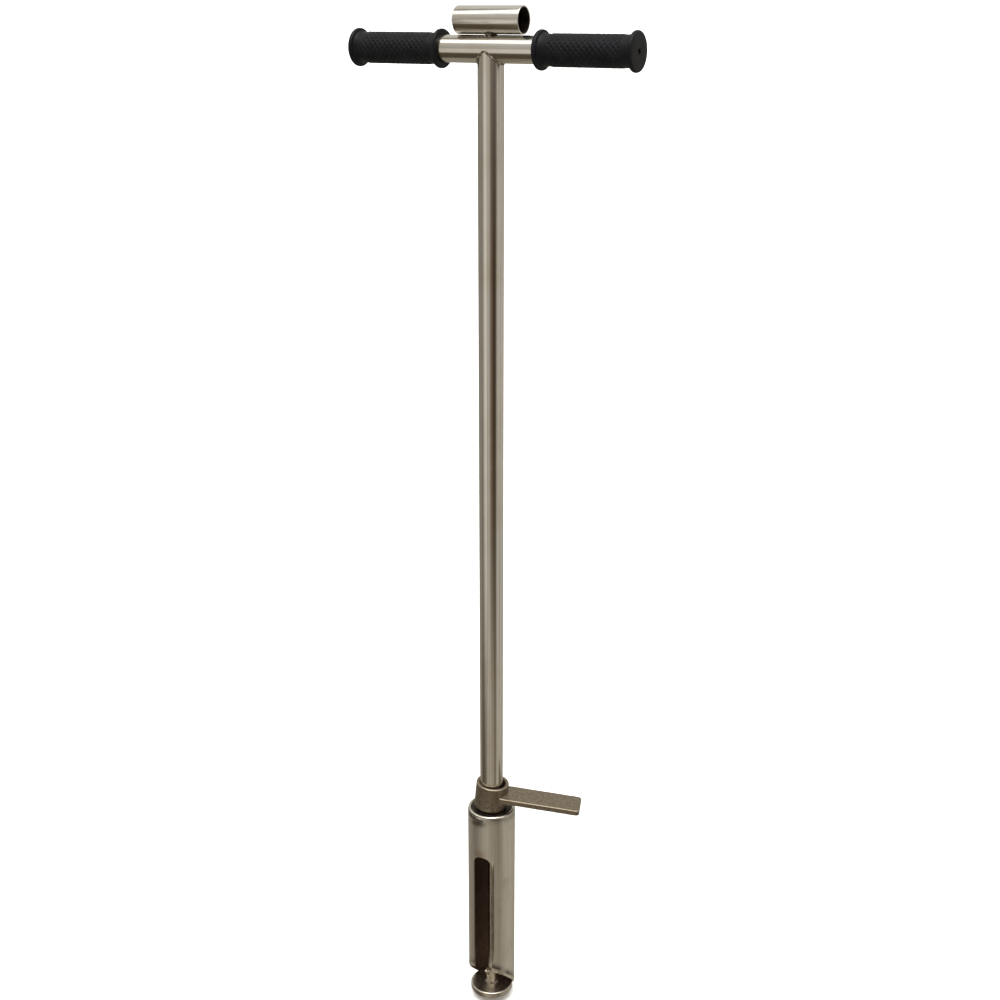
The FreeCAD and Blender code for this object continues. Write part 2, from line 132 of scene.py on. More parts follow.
def turnedShell(outline, segments, wobble=None):
    # revolves a closed outline about Z; wobble(angle, radius, height) may move a point
    points, faces = [], []
    count = len(outline)
    for s in range(segments):
        angle = 2 * math.pi * s / segments
        for radius, height in outline:
            if wobble:
                radius, height = wobble(angle, radius, height)
            points.append(Vector((radius * math.cos(angle), radius * math.sin(angle), height)))
    for s in range(segments):
        for i in range(count):
            a, b = s * count + i, s * count + (i + 1) % count
            c, d = (s + 1) % segments * count + i, (s + 1) % segments * count + (i + 1) % count
            if outline[i][0] < 1e-9 and outline[(i + 1) % count][0] < 1e-9:
                continue
            faces.append((a, c, d, b))
    return points, faces


# the camera comes first: everything else is judged through it
view = {
    "place": (0.69821, -1.15986, 1.0921),
    "turn": 30.665,
    "down": 19.356,
    "roll": 0.073,
    "lens": 49.901,
}


def makeCamera():
    data = bpy.data.cameras.new("viewCamera")
    data.lens = view["lens"]
    data.sensor_width = 36
    data.clip_start, data.clip_end = 0.05, 600
    camera = newObject("viewCamera", data)
    turn = Matrix.Rotation(math.radians(view["turn"]), 4, "Z")
    tip = Matrix.Rotation(math.radians(90 - view["down"]), 4, "X")
    roll = Matrix.Rotation(math.radians(view["roll"]), 4, "Z")
    camera.matrix_world = Matrix.Translation(view["place"]) @ turn @ tip @ roll
    bpy.context.scene.camera = camera


makeCamera()
print("camera placed")

# stainless tube, drawn and polished lengthwise: bright, with fine stripes along the tube
tubeLook = {
    "light": "#D2CEC6",
    "dark": "#B3AFA6",
    "warm": "#B9AA92",
    "stripeWidth": 0.9,
    "stripeLength": 260,
    "roughness": 0.17,
    "grooveHeight": 0.010,
}


def makeTubeMaterial(name, axis, look):
    material, tree, place = newMaterial(name)
    across, along = 1000 / look["stripeWidth"], 1000 / look["stripeLength"]
    scale = (along, across, across) if axis == "X" else (across, across, along)
    stretched = addNode(tree, "ShaderNodeMapping", {"Vector": place, "Scale": scale})
    stripes = addNode(tree, "ShaderNodeTexNoise",
                      {"Vector": stretched, "Scale": 0.55, "Detail": 5, "Roughness": 0.6})
    tone = setRamp(addNode(tree, "ShaderNodeValToRGB", {"Fac": stripes}),
                   [(0.34, look["dark"]), (0.50, look["light"])])
    # wide soft patches where hands and heat have yellowed the steel
    patches = addNode(tree, "ShaderNodeTexNoise",
                      {"Vector": place, "Scale": 14, "Detail": 3, "Roughness": 0.55})
    patchMask = addNode(tree, "ShaderNodeMapRange",
                        {"Value": patches, "From Min": 0.48, "From Max": 0.72, "To Max": 0.45})
    colour = addNode(tree, "ShaderNodeMix",
                     {"data_type": "RGBA", 0: patchMask, 6: tone, 7: linearColour(look["warm"])})
    rubbed = addNode(tree, "ShaderNodeMapRange",
                     {"Value": stripes, "From Min": 0.3, "From Max": 0.7, "To Min": look["roughness"] * 1.5,
                      "To Max": look["roughness"] * 0.8})
    fine = addNode(tree, "ShaderNodeTexNoise", {"Vector": stretched, "Scale": 2.6, "Detail": 2})
    bump = addNode(tree, "ShaderNodeBump",
                   {"Height": fine, "Distance": look["grooveHeight"] * mm, "Strength": 0.6})
    shader = addNode(tree, "ShaderNodeBsdfPrincipled",
                     {"Base Color": colour.outputs[2], "Metallic": 1.0, "Roughness": rubbed,
                      "Normal": bump})
    addNode(tree, "ShaderNodeOutputMaterial", {"Surface": shader})
    return material


levelTubeSteel = makeTubeMaterial("polishedStainlessTubeLevel", "X", tubeLook)
uprightTubeSteel = makeTubeMaterial("polishedStainlessTubeUpright", "Z", tubeLook)

# finishes whose tones come from one noise, with or without relief from the same noise:
# mill scale left inside the barrel is brown and dull, and the near-black finish is painted shade, standing in
# for the dark reflection and shadow on the cap top under the collar and for the shade inside the push
# handle's bore
millScale = {"stretch": (150, 150, 60), "grain": 1.0, "detail": 4,
             "tones": [(0.35, "#584536"), (0.65, "#655041")],
             "surface": {"Metallic": 0.6, "Roughness": 0.5}}
sootAndPaintedShade = {"stretch": (150, 150, 60), "grain": 1.0, "detail": 4,
        "tones": [(0.35, "#1C1612"), (0.65, "#39302A")],
        "surface": {"Metallic": 0.8, "Roughness": 0.42}}
# bare weld metal: bright ripples with straw to brown heat tint spread by a fine noise; the darkest brown is
# deepened as painted shade for the shadowed borders of the beads
weldTintAndShade = {"grain": 420, "detail": 4,
             "tones": [(0.36, "#3B322A"), (0.48, "#80766A"), (0.64, "#BDB5A7")],
             "relief": 0.05, "reliefStrength": 0.7, "surface": {"Metallic": 1.0, "Roughness": 0.28}}
# edges dressed on a grinding belt: brighter than the satin wall and cross-scratched
groundEdge = {"stretch": (900, 900, 120), "grain": 1.0, "detail": 4,
              "tones": [(0.30, "#9C9484"), (0.62, "#D8D2C6")],
              "relief": 0.03, "reliefStrength": 0.6, "surface": {"Metallic": 1.0, "Roughness": 0.24}}
# natural nylon: milky, a little waxy
milkyNylon = {"grain": 90, "detail": 3, "tones": [(0.3, "#C9C4B4"), (0.7, "#DAD6C8")],
              "surface": {"Roughness": 0.45, "IOR": 1.53}}


def makePatternedMaterial(name, look):
    material, tree, place = newMaterial(name)
    if "stretch" in look:
        place = addNode(tree, "ShaderNodeMapping", {"Vector": place, "Scale": look["stretch"]}).outputs[0]
    grain = addNode(tree, "ShaderNodeTexNoise",
                    {"Vector": place, "Scale": look["grain"], "Detail": look["detail"]})
    tone = setRamp(addNode(tree, "ShaderNodeValToRGB", {"Fac": grain}), look["tones"])
    shader = addNode(tree, "ShaderNodeBsdfPrincipled", {"Base Color": tone, **look["surface"]})
    if "relief" in look:
        bump = addNode(tree, "ShaderNodeBump",
                       {"Height": grain, "Distance": look["relief"] * mm,
                        "Strength": look["reliefStrength"]})
        tree.links.new(bump.outputs[0], shader.inputs["Normal"])
    addNode(tree, "ShaderNodeOutputMaterial", {"Surface": shader})
    return material


boreSteel = makePatternedMaterial("millScaleStainlessBore", millScale)
# painted shade: a near-black steel for the cap top and the push handle's bore
paintedShadeSteel = makePatternedMaterial("paintedShadeDarkStainless", sootAndPaintedShade)
# weld tones: real heat tint, darkened in part as painted shade
weldTintAndShadeSteel = makePatternedMaterial("bareStainlessWeldPaintedShade", weldTintAndShade)
groundSteel = makePatternedMaterial("groundStainlessEdge", groundEdge)
nylon = makePatternedMaterial("naturalNylonMachined", milkyNylon)

# turned stainless: fine rings from the lathe round the tool's axis
turnedLook = {"colour": "#C2BAAB", "dark": "#A79E8F", "roughness": 0.3, "ringSpacing": 0.45}


def makeTurnedMaterial():
    material, tree, place = newMaterial("turnedStainless")
    flat = addNode(tree, "ShaderNodeMapping", {"Vector": place, "Scale": (1, 1, 0)})
    rings = addNode(tree, "ShaderNodeTexWave",
                    {"wave_type": "RINGS", "rings_direction": "Z", "Vector": flat,
                     "Scale": 1000 / turnedLook["ringSpacing"] / 20 * math.pi, "Distortion": 0.6,
                     "Detail": 1})
    stains = addNode(tree, "ShaderNodeTexNoise", {"Vector": place, "Scale": 120, "Detail": 4})
    tone = setRamp(addNode(tree, "ShaderNodeValToRGB", {"Fac": stains}),
                   [(0.35, turnedLook["dark"]), (0.6, turnedLook["colour"])])
    bump = addNode(tree, "ShaderNodeBump",
                   {"Height": rings.outputs[1], "Distance": 0.02 * mm, "Strength": 0.5})
    shader = addNode(tree, "ShaderNodeBsdfPrincipled",
                     {"Base Color": tone, "Metallic": 1.0, "Roughness": turnedLook["roughness"],
                      "Normal": bump})
    addNode(tree, "ShaderNodeOutputMaterial", {"Surface": shader})
    return material


turnedSteel = makeTurnedMaterial()

print("metal and nylon finishes made")

# black moulded rubber grips with a raised crossing pattern
grip = {
    "boreRadius": 12.7,
    "bodyRadius": 14.3,
    "flangeRadius": 18.1,
    "flangeWidth": 4.5,
    "flareWidth": 7.0,
    "endWall": 3,
    "ventRadius": 2.5,
    "smoothBand": 9.5,
    "ridgeCount": 16,
    "ridgeRadius": 0.85,
    "ridgeRise": 0.5,
    "ridgeLean": 45,
    "colour": "#0A0A0D",
    "bloom": "#111216",
    "roughness": 0.5,
}


def makeRubberMaterial():
    # moulded natural rubber: near black and dull, with a faint grey bloom
    material, tree, place = newMaterial("blackMouldedRubber")
    bloom = addNode(tree, "ShaderNodeTexNoise", {"Vector": place, "Scale": 70, "Detail": 5})
    tone = setRamp(addNode(tree, "ShaderNodeValToRGB", {"Fac": bloom}),
                   [(0.40, grip["colour"]), (0.72, grip["bloom"])])
    pores = addNode(tree, "ShaderNodeTexNoise", {"Vector": place, "Scale": 1400, "Detail": 3})
    bump = addNode(tree, "ShaderNodeBump", {"Height": pores, "Distance": 0.06 * mm, "Strength": 0.5})
    shader = addNode(tree, "ShaderNodeBsdfPrincipled",
                     {"Base Color": tone, "Roughness": grip["roughness"], "IOR": 1.52,
                      "Specular IOR Level": 0.13, "Normal": bump})
    addNode(tree, "ShaderNodeOutputMaterial", {"Surface": shader})
    return material


rubber = makeRubberMaterial()


def gripOutline(inner, outer):
    # (radius, distance from the crossbar's middle), with a hollow flare beside each flange
    flange, body = grip["flangeRadius"], grip["bodyRadius"]
    innerFace, outerFace = inner + grip["flangeWidth"], outer - grip["flangeWidth"]
    rise, steps = flange - 2.4 - body, 10
    flare = []
    for step in range(steps + 1):
        t = step / steps * math.pi / 2
        flare.append((body + rise * (1 - math.sin(t)), grip["flareWidth"] * (1 - math.cos(t))))
    corners = [(grip["boreRadius"], inner, 0.4), (flange, inner, 1.9), (flange, innerFace, 1.9)]
    corners += [(radius, innerFace + 0.1 + along, 0) for radius, along in flare]
    corners += [(radius, outerFace - 0.1 - along, 0) for radius, along in reversed(flare)]
    corners += [(flange, outerFace, 1.9), (flange, outer, 2.3), (grip["ventRadius"], outer, 0.6),
                (grip["ventRadius"], outer - grip["endWall"], 0),
                (grip["boreRadius"], outer - grip["endWall"], 0)]
    return roundedOutline(corners)


def newTree(name, inputs):
    tree = bpy.data.node_groups.new(name, "GeometryNodeTree")
    for inputName, kind in inputs.items():
        tree.interface.new_socket(inputName, in_out="INPUT", socket_type="NodeSocket" + kind)
    tree.interface.new_socket("Geometry", in_out="OUTPUT", socket_type="NodeSocketGeometry")
    return tree, addNode(tree, "NodeGroupInput").outputs


def endTree(tree, solid, finish):
    smooth = addNode(tree, "GeometryNodeSetShadeSmooth", {"Geometry": solid})
    finished = addNode(tree, "GeometryNodeSetMaterial", {"Geometry": smooth, "Material": finish})
    addNode(tree, "NodeGroupOutput", {"Geometry": finished})
    return tree


def makeRidgeTree():
    # two crossing families of raised lines that wind round a grip
    tree, given = newTree("crossedRidges", {
        "Start": "Float", "Length": "Float", "Radius": "Float", "Turn": "Float",
        "Ridge Radius": "Float", "Count": "Int", "Height": "Float", "Finish": "Material"})
    end = addNode(tree, "ShaderNodeCombineXYZ", {"X": given["Length"]})
    line = addNode(tree, "GeometryNodeCurvePrimitiveLine", {"End": end})
    divided = addNode(tree, "GeometryNodeResampleCurve", {"Curve": line, "Count": 40})
    along = addNode(tree, "GeometryNodeSplineParameter").outputs["Factor"]
    distance = addNode(tree, "ShaderNodeMath",
                       {"operation": "MULTIPLY_ADD", 0: along, 1: given["Length"], 2: given["Start"]})
    families = []
    for way in (1, -1):
        angle = addNode(tree, "ShaderNodeMath", {"operation": "MULTIPLY", 0: along, 1: given["Turn"]})
        signed = addNode(tree, "ShaderNodeMath", {"operation": "MULTIPLY", 0: angle, 1: way})
        cosine = addNode(tree, "ShaderNodeMath", {"operation": "COSINE", 0: signed})
        sine = addNode(tree, "ShaderNodeMath", {"operation": "SINE", 0: signed})
        sideways = addNode(tree, "ShaderNodeMath", {"operation": "MULTIPLY", 0: cosine, 1: given["Radius"]})
        upward = addNode(tree, "ShaderNodeMath", {"operation": "MULTIPLY", 0: sine, 1: given["Radius"]})
        spot = addNode(tree, "ShaderNodeCombineXYZ", {"X": distance, "Y": sideways, "Z": upward})
        wound = addNode(tree, "GeometryNodeSetPosition", {"Geometry": divided, "Position": spot})
        section = addNode(tree, "GeometryNodeCurvePrimitiveCircle",
                          {"Resolution": 8, "Radius": given["Ridge Radius"]})
        ridge = addNode(tree, "GeometryNodeCurveToMesh",
                        {"Curve": wound, "Profile Curve": section, "Fill Caps": True})
        families.append(ridge)
    pair = addNode(tree, "GeometryNodeJoinGeometry")
    for ridge in families:
        tree.links.new(ridge.outputs[0], pair.inputs[0])
    spots = addNode(tree, "GeometryNodePoints", {"Count": given["Count"]})
    index = addNode(tree, "GeometryNodeInputIndex").outputs[0]
    share = addNode(tree, "ShaderNodeMath", {"operation": "DIVIDE", 0: index, 1: given["Count"]})
    spin = addNode(tree, "ShaderNodeMath", {"operation": "MULTIPLY", 0: share, 1: math.tau})
    turn = addNode(tree, "ShaderNodeCombineXYZ", {"X": spin})
    copies = addNode(tree, "GeometryNodeInstanceOnPoints",
                     {"Points": spots, "Instance": pair, "Rotation": turn})
    solid = addNode(tree, "GeometryNodeRealizeInstances", {"Geometry": copies})
    lift = addNode(tree, "ShaderNodeCombineXYZ", {"Z": given["Height"]})
    raised = addNode(tree, "GeometryNodeSetPosition", {"Geometry": solid, "Offset": lift})
    return endTree(tree, raised, given["Finish"])


def bakedMesh(piece):
    # the plain mesh that a piece's modifiers make
    evaluated = piece.evaluated_get(bpy.context.evaluated_depsgraph_get())
    return bpy.data.meshes.new_from_object(evaluated)


def bakeNodes(name, tree, values):
    # runs a node tree on an empty mesh and returns the plain mesh it makes
    holder = newObject(name + "Nodes", bpy.data.meshes.new(name + "Nodes"))
    modifier = holder.modifiers.new("pattern", "NODES")
    modifier.node_group = tree
    for item in tree.interface.items_tree:
        if item.in_out == "INPUT" and item.name in values:
            modifier[item.identifier] = values[item.name]
    mesh = bakedMesh(holder)
    bpy.data.objects.remove(holder)
    return mesh


def addMesh(piece, mesh):
    shell = bmesh.new()
    shell.from_mesh(piece.data)
    shell.from_mesh(mesh)
    shell.to_mesh(piece.data)
    shell.free()


ridgeTree = makeRidgeTree()


def makeGrip(name, side):
    low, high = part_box(name)
    inner, outer = sorted((abs(low.x) / mm, abs(high.x) / mm))
    height = (low.z + high.z) / 2
    points, faces = turnedShell(gripOutline(inner, outer), 96)
    lay = Matrix.Translation((0, 0, height)) @ Matrix.Rotation(math.radians(90 * side), 4, "Y")
    scaled = [p * mm for p in points]
    piece = newPiece(name + "Rubber", [lay @ p for p in scaled], faces, rubber, 40)
    # the ridges run between the smooth bands, sunk so that only their crowns stand out
    start = inner + grip["flangeWidth"] + grip["smoothBand"]
    end = outer - grip["flangeWidth"] - grip["smoothBand"]
    radius = grip["bodyRadius"] + grip["ridgeRise"] - grip["ridgeRadius"]
    turn = (end - start) * math.tan(math.radians(grip["ridgeLean"])) / grip["bodyRadius"]
    ridges = bakeNodes(name, ridgeTree, {
        "Start": start * mm * side if side > 0 else -end * mm, "Length": (end - start) * mm,
        "Radius": radius * mm, "Turn": turn, "Ridge Radius": grip["ridgeRadius"] * mm,
        "Count": grip["ridgeCount"], "Height": height, "Finish": rubber})
    addMesh(piece, ridges)
    joinBody(piece, "root", name)


makeGrip("right_grip", 1)
makeGrip("left_grip", -1)
print("rubber grips made")

# the short tube on top that is pushed to drive the ejector
pushHandle = {"radius": 12.7, "bore": 11.5, "length": 69, "turn": 2, "rimRounding": 0.35}


def makePushHandle():
    low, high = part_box("push_handle")
    half, rounding = pushHandle["length"] / 2, pushHandle["rimRounding"]
    corners = [(pushHandle["bore"], -half, rounding), (pushHandle["radius"], -half, rounding),
               (pushHandle["radius"], half, rounding), (pushHandle["bore"], half, rounding)]
    points, faces = turnedShell(roundedOutline(corners, 3), 128)
    # made about Z, then laid along X and turned a little off the crossbar
    turn, middle = math.radians(pushHandle["turn"]), Vector((0, 0, (low.z + high.z) / 2))
    lay = Matrix.Rotation(turn, 4, "Z") @ Matrix.Rotation(math.radians(90), 4, "Y")
    points = [Matrix.Translation(middle) @ lay @ (p * mm) for p in points]
    piece = newPiece("pushHandleTube", points, faces, levelTubeSteel)
    # the bore gets the near-black painted shade of a tube's shaded inside
    piece.data.materials.append(paintedShadeSteel)
    axis = Vector((math.cos(turn), math.sin(turn), 0))
    for face in piece.data.polygons:
        fromAxis = face.center - middle
        fromAxis -= axis * fromAxis.dot(axis)
        if fromAxis.length < (pushHandle["bore"] + 0.1) * mm:
            face.material_index = 1
    joinBody(piece, "ejector_rod", "push_handle")


makePushHandle()
print("push handle made")

# weld beads: overlapping drops of metal laid along a path
bead = {"spacing": 1.15, "seed": 4}


def makeBeadTree():
    tree, given = newTree("weldDrops", {"Path": "Object", "Spacing": "Float", "Drop Radius": "Float",
                                        "Flatness": "Float", "Seed": "Int", "Finish": "Material"})
    path = addNode(tree, "GeometryNodeObjectInfo", {"Object": given["Path"]})
    spots = addNode(tree, "GeometryNodeCurveToPoints",
                    {"mode": "LENGTH", "Curve": path.outputs["Geometry"], "Length": given["Spacing"]})
    drop = addNode(tree, "GeometryNodeMeshIcoSphere", {"Radius": given["Drop Radius"], "Subdivisions": 3})
    swell = addNode(tree, "FunctionNodeRandomValue", {2: 0.86, 3: 1.12, "Seed": given["Seed"]})
    size = addNode(tree, "ShaderNodeCombineXYZ",
                   {"X": swell.outputs[1], "Y": swell.outputs[1], "Z": given["Flatness"]})
    copies = addNode(tree, "GeometryNodeInstanceOnPoints",
                     {"Points": spots, "Instance": drop, "Rotation": spots.outputs["Rotation"],
                      "Scale": size})
    solid = addNode(tree, "GeometryNodeRealizeInstances", {"Geometry": copies})
    return endTree(tree, solid, given["Finish"])


beadTree = makeBeadTree()


def makeBead(node, pieceName, path, dropRadius, flatness, body):
    curve = bpy.data.curves.new(pieceName + "Path", "CURVE")
    curve.dimensions = "3D"
    spline = curve.splines.new("POLY")
    spline.points.add(len(path) - 1)
    for point, spot in zip(spline.points, path):
        point.co = (*(spot * mm), 1)
    spline.use_cyclic_u = True
    holder = newObject(pieceName + "Path", curve)
    mesh = bakeNodes(pieceName, beadTree, {
        "Path": holder, "Spacing": bead["spacing"] * mm, "Drop Radius": dropRadius * mm,
        "Flatness": flatness, "Seed": bead["seed"], "Finish": weldTintAndShadeSteel})
    bpy.data.objects.remove(holder)
    joinBody(newObject(pieceName, mesh), body, node)


def circlePath(radius, height, count=120):
    return [Vector((radius * math.cos(math.tau * i / count), radius * math.sin(math.tau * i / count), height))
            for i in range(count)]


crossbarHeight = (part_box("crossbar_tube")[0].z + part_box("crossbar_tube")[1].z) / 2 / mm
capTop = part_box("barrel_cap")[1].z / mm
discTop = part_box("ejector_disc")[1].z / mm
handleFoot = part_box("push_handle")[0].z / mm


def saddlePath(shaftRadius, barRadius, count=200):
    path = []
    for i in range(count):
        angle = math.tau * i / count
        x, y = shaftRadius * math.cos(angle), shaftRadius * math.sin(angle)
        path.append(Vector((x, y, crossbarHeight - math.sqrt(max(barRadius ** 2 - y * y, 0.3)))))
    return path


makeBead("crossbar_weld", "crossbarBead", saddlePath(12.85, 12.9), 1.15, 0.8, "root")
makeBead("shaft_weld", "shaftBead", circlePath(13.6, capTop - 3.9), 1.7, 0.8, "root")
makeBead("push_handle_weld", "pushHandleBead", circlePath(4.9, handleFoot - 0.1), 1.05, 0.8, "ejector_rod")
makeBead("disc_weld", "socketBead", circlePath(6.5, discTop + 0.15), 0.95, 0.8, "ejector")
print("weld beads laid")

# the barrel: a satin tube with a window, an oblique cutting mouth and ground edges
barrel = {
    "radius": 26.5,
    "bore": 24.5,
    "top": 252,
    "turn": 6,
    "windowHalf": 10.4,
    "windowTop": 200.7,
    "windowCorner": 9.3,
    "bevelWidth": 2.6,
    "bevelDepth": 1.4,
    "lipTop": 80,
    "lipFoot": 54,
    "lipWidth": 2,
    "lipReach": 14,
    "mouthBevel": 4.2,
    "mouthBevelDepth": 0.9,
    "mouthTop": 60,
    "burrFoot": 48,
    "heatSpot": (-0.003, -0.0263, 0.2035),
    "sootSpot": (-0.0037, -0.0154, 0.2490),
    "shoulder": 2.6,
    "shoulderDepth": 0.55,
    "burr": 0.12,
    "colour": "#C0BBAE",
    "light": "#D0CBC0",
    "stain": "#A79F8F",
    "tint": "#8A5A1E",
    # colour of the painted shadow line along the window's burr
    "line": "#3C2C1E",
    "smoke": "#332A22",
    "roughness": 0.4,
}


def aboveLip(height):
    # 0 at the lip's foot and below, 1 at its top and above
    return min(max((height - barrel["lipFoot"]) / (barrel["lipTop"] - barrel["lipFoot"]), 0), 1)


def windowSide(height):
    # the right-hand side comes in to a lip near the mouth
    return barrel["windowHalf"] - barrel["lipWidth"] * (1 - aboveLip(height))


def barrelColumns():
    # distances round the outside from the window's right side, round the back to its left side
    radius, half = barrel["radius"], barrel["windowHalf"]
    total = radius * (math.tau - 2 * math.asin(half / radius))
    near = [0, 0.25, 0.8, 1.6, barrel["bevelWidth"], barrel["bevelWidth"] + 0.3, 4, 6]
    spaces = 72
    middle = [6 + (total - 12) * i / spaces for i in range(1, spaces)]
    far = [total - d for d in (6, 4, 2.4, 1.2, 0.3, 0)]
    return near + middle + far, total


def barrelRows():
    # heights above the mouth's edge, then steps up to the window's arch, then shares of the way to the top
    mouth = [0, 0.3, 0.9, 1.8, 3, barrel["mouthBevel"], 4.6, 6.5, 9, 12]
    return mouth, 34, [i / 13 for i in range(13)] + [0.958, 0.972, 0.986, 1]


def wallRadius(height):
    # the top of the wall is ground round, up to the welded rim
    over = max(0, 1 - (barrel["top"] - height) / barrel["shoulder"])
    return barrel["radius"] - barrel["shoulderDepth"] * over ** 2


def makeBarrelShell():
    radius, bore = barrel["radius"], barrel["bore"]
    columns, total = barrelColumns()
    mouthRows, wallSteps, topShares = barrelRows()
    straightTop = barrel["windowTop"] - barrel["windowCorner"]
    points, outer, inner = [], [], []

    def addPair(outerPoint, innerPoint, outerColumn, innerColumn):
        outerColumn.append(len(points))
        points.append(outerPoint)
        innerColumn.append(len(points))
        points.append(innerPoint)

    for distance in columns:
        fullAngle = math.asin(barrel["windowHalf"] / radius) + distance / radius
        outerColumn, innerColumn = [], []
        rows = [("mouth", d) for d in mouthRows]
        rows += [("wall", i / wallSteps) for i in range(1, wallSteps + 1)]
        rows += [("top", share) for share in topShares[1:]]
        for kind, step in rows:
            angle = fullAngle
            for _ in range(2):
                edge = radius + radius * math.cos(angle)
                if kind == "mouth":
                    height = edge + step
                elif kind == "wall":
                    height = edge + mouthRows[-1] + (straightTop - edge - mouthRows[-1]) * step
                else:
                    height = straightTop + (barrel["top"] - straightTop) * step
                side = math.asin(windowSide(height) / radius)
                pull = max(0, 1 - distance / barrel["lipReach"])
                angle = fullAngle - (math.asin(barrel["windowHalf"] / radius) - side) * pull
            here = wallRadius(height)
            if abs(distance - barrel["bevelWidth"] - 0.15) < 0.2 and height < straightTop:
                here += barrel["burr"]
            if distance < barrel["bevelWidth"] and height <= straightTop + 0.01:
                depth = barrel["bevelDepth"] * (0.55 + 0.45 * aboveLip(height))
                here -= depth * (1 - distance / barrel["bevelWidth"])
            if kind == "mouth" and step < barrel["mouthBevel"]:
                here -= barrel["mouthBevelDepth"] * (1 - step / barrel["mouthBevel"])
            sideX = windowSide(height) if distance < total / 2 else barrel["windowHalf"]
            fromSide = min(distance, total - distance)
            pull = max(0, 1 - fromSide / barrel["lipReach"])
            shift = (math.asin(sideX / bore) - math.asin(sideX / radius)) * pull
            innerAngle = angle + shift if distance < total / 2 else angle - shift
            innerHeight = height
            if kind == "mouth":
                innerHeight = radius + bore * math.cos(innerAngle) + step
            addPair(Vector((here * math.sin(angle), -here * math.cos(angle), height)),
                    Vector((bore * math.sin(innerAngle), -bore * math.cos(innerAngle), innerHeight)),
                    outerColumn, innerColumn)
        outer.append(outerColumn)
        inner.append(innerColumn)
    firstArch = len(mouthRows) + wallSteps - 1
    corner, flatHalf = barrel["windowCorner"], barrel["windowHalf"] - barrel["windowCorner"]
    arch = []
    for i in range(1, 13):
        t = math.radians(90 - 7.5 * i)
        arch.append((-flatHalf - corner * math.sin(t), straightTop + corner * math.cos(t)))
    arch.append((0, barrel["windowTop"]))
    arch += [(-x, z) for x, z in reversed(arch[:-1])]
    archOuter, archInner = [], []
    for x, foot in arch:
        outerColumn, innerColumn = [None] * firstArch, [None] * firstArch
        for share in topShares:
            height = foot + (barrel["top"] - foot) * share
            addPair(Vector((x, -math.sqrt(wallRadius(height) ** 2 - x * x), height)),
                    Vector((x, -math.sqrt(bore ** 2 - x * x), height)), outerColumn, innerColumn)
        archOuter.append(outerColumn)
        archInner.append(innerColumn)
    last = len(outer[0]) - 1
    faces = []
    for c in range(len(outer) - 1):
        for r in range(last):
            faces.append((outer[c][r], outer[c + 1][r], outer[c + 1][r + 1], outer[c][r + 1]))
            faces.append((inner[c][r], inner[c][r + 1], inner[c + 1][r + 1], inner[c + 1][r]))
        faces.append((outer[c][0], inner[c][0], inner[c + 1][0], outer[c + 1][0]))
        faces.append((outer[c][last], outer[c + 1][last], inner[c + 1][last], inner[c][last]))
    for c in (0, -1):
        for r in range(firstArch):
            faces.append((outer[c][r], outer[c][r + 1], inner[c][r + 1], inner[c][r]))
    ringOuter = [outer[-1]] + archOuter + [outer[0]]
    ringInner = [inner[-1]] + archInner + [inner[0]]
    for c in range(len(ringOuter) - 1):
        a, b, e, f = ringOuter[c], ringOuter[c + 1], ringInner[c], ringInner[c + 1]
        for r in range(firstArch, last):
            faces.append((a[r], b[r], b[r + 1], a[r + 1]))
            faces.append((e[r], e[r + 1], f[r + 1], f[r]))
        faces.append((a[firstArch], e[firstArch], f[firstArch], b[firstArch]))
        faces.append((a[last], b[last], f[last], e[last]))
    turn = Matrix.Rotation(math.radians(barrel["turn"]), 4, "Z")
    return [turn @ (p * mm) for p in points], faces


